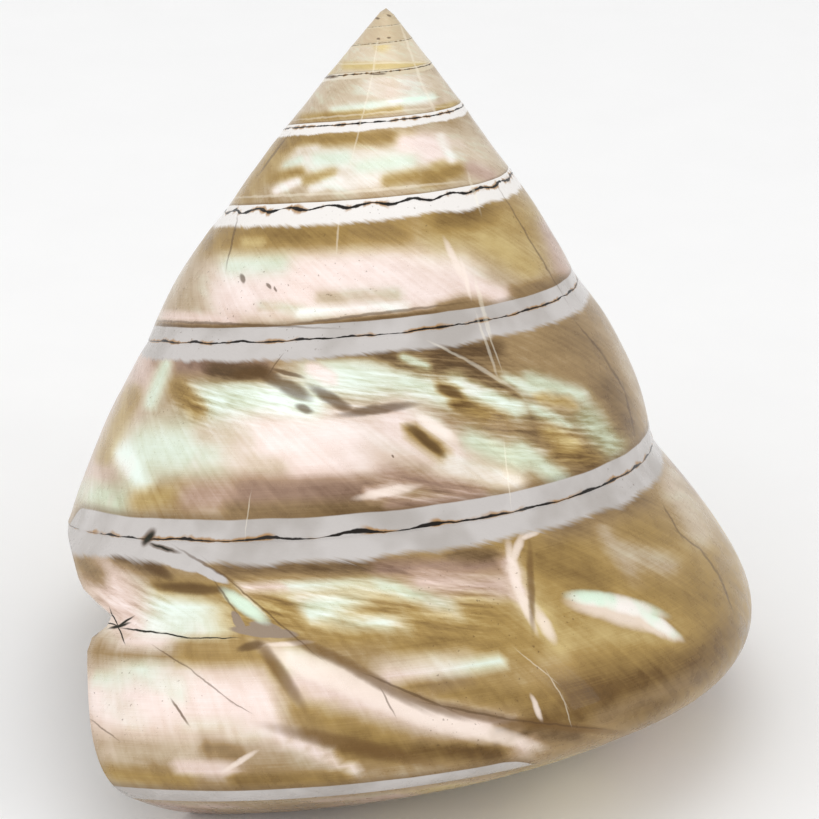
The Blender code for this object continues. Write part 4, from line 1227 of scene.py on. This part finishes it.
def make_floor():
    """A wide pale floor that curves up far behind, as a studio sweep does: flat, then a quarter
    circle, then straight up."""
    along = np.linspace(0.0, 1.0, FLOOR_LINES)
    angle = np.clip((along - CURVE_FROM) / (CURVE_TO - CURVE_FROM), 0.0, 1.0) * math.pi / 2.0
    rise = np.clip((along - CURVE_TO) / (1.0 - CURVE_TO), 0.0, 1.0) * FLOOR_RISE
    flat = np.minimum(along / CURVE_FROM, 1.0) * (FLOOR_FRONT + FLOOR_BACK) - FLOOR_FRONT
    x = np.linspace(-FLOOR_SIDE, FLOOR_SIDE, 3)
    y = flat + FLOOR_CURVE * np.sin(angle)
    z = FLOOR_CURVE * (1.0 - np.cos(angle)) + rise
    space = np.stack(np.broadcast_arrays(x[:, None], y[None], z[None]), axis=-1)
    faces = cells(numbered(len(x), FLOOR_LINES, 0))
    mesh = bpy.data.meshes.new("studio floor")
    mesh.from_pydata(space.reshape(-1, 3).tolist(), [], faces.tolist())
    mesh.shade_smooth()
    material, g, shader, place = new_material("pale floor")
    grain = g.noise(place, *FLOOR_GRAIN)
    g.put(shader.inputs["Base Color"], g.mix(grain, *FLOOR_GREYS))
    shader.inputs["Roughness"].default_value = FLOOR_ROUGHNESS
    mesh.materials.append(material)
    return add_object("studio_floor", mesh)


def camera_frame(shift):
    """The camera's place, and its right, up and back directions as rows. They are given from the
    shell's tip in the spiral's own directions, and then leaned with the shell."""
    pitch, roll = math.radians(CAMERA_PITCH), math.radians(CAMERA_ROLL)
    right = np.array([math.cos(roll), math.sin(roll) * math.sin(pitch),
                      math.sin(roll) * math.cos(pitch)])
    up = np.array([-math.sin(roll), math.cos(roll) * math.sin(pitch),
                   math.cos(roll) * math.cos(pitch)])
    back = np.array([0.0, -math.cos(pitch), math.sin(pitch)])
    place = CAMERA_RIGHT * right - CAMERA_DOWN * up + CAMERA_DISTANCE * back
    return leaned(place[None])[0] + shift, leaned(np.stack([right, up, back]))


def make_camera(shift):
    """The camera that sees the shell as the photograph does."""
    place, directions = camera_frame(shift)
    data = bpy.data.cameras.new("camera")
    data.lens = CAMERA_LENS
    data.sensor_width = SENSOR_WIDTH
    camera = add_object("camera", data)
    camera.matrix_world = (Matrix.Translation(Vector(place))
                           @ Matrix(directions.T.tolist()).to_4x4())
    bpy.context.scene.camera = camera


def add_softbox(name, place, width, height, watts):
    """A large soft lamp that faces the shell."""
    data = bpy.data.lights.new(name, "AREA")
    data.shape = "RECTANGLE"
    data.size = width
    data.size_y = height
    data.energy = watts
    direction = Vector(LAMP_AIM) - Vector(place)
    turned_to = direction.to_track_quat("-Z", "Y").to_matrix().to_4x4()
    add_object(name, data).matrix_world = Matrix.Translation(Vector(place)) @ turned_to


def light_studio():
    """An even pale surround and three softboxes."""
    scene = bpy.context.scene
    world = bpy.data.worlds.new("studio")
    world.use_nodes = True
    world.node_tree.nodes["Background"].inputs["Color"].default_value = (1.0, 1.0, 1.0, 1.0)
    world.node_tree.nodes["Background"].inputs["Strength"].default_value = WORLD_STRENGTH
    scene.world = world
    scene.view_settings.view_transform = "Standard"
    for name, settings in SOFTBOXES.items():
        add_softbox(name, *settings)


shell, shell_shift = make_shell(nacre_material())
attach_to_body(shell, "root")
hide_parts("shell")
make_floor()
make_camera(shell_shift)
light_studio()
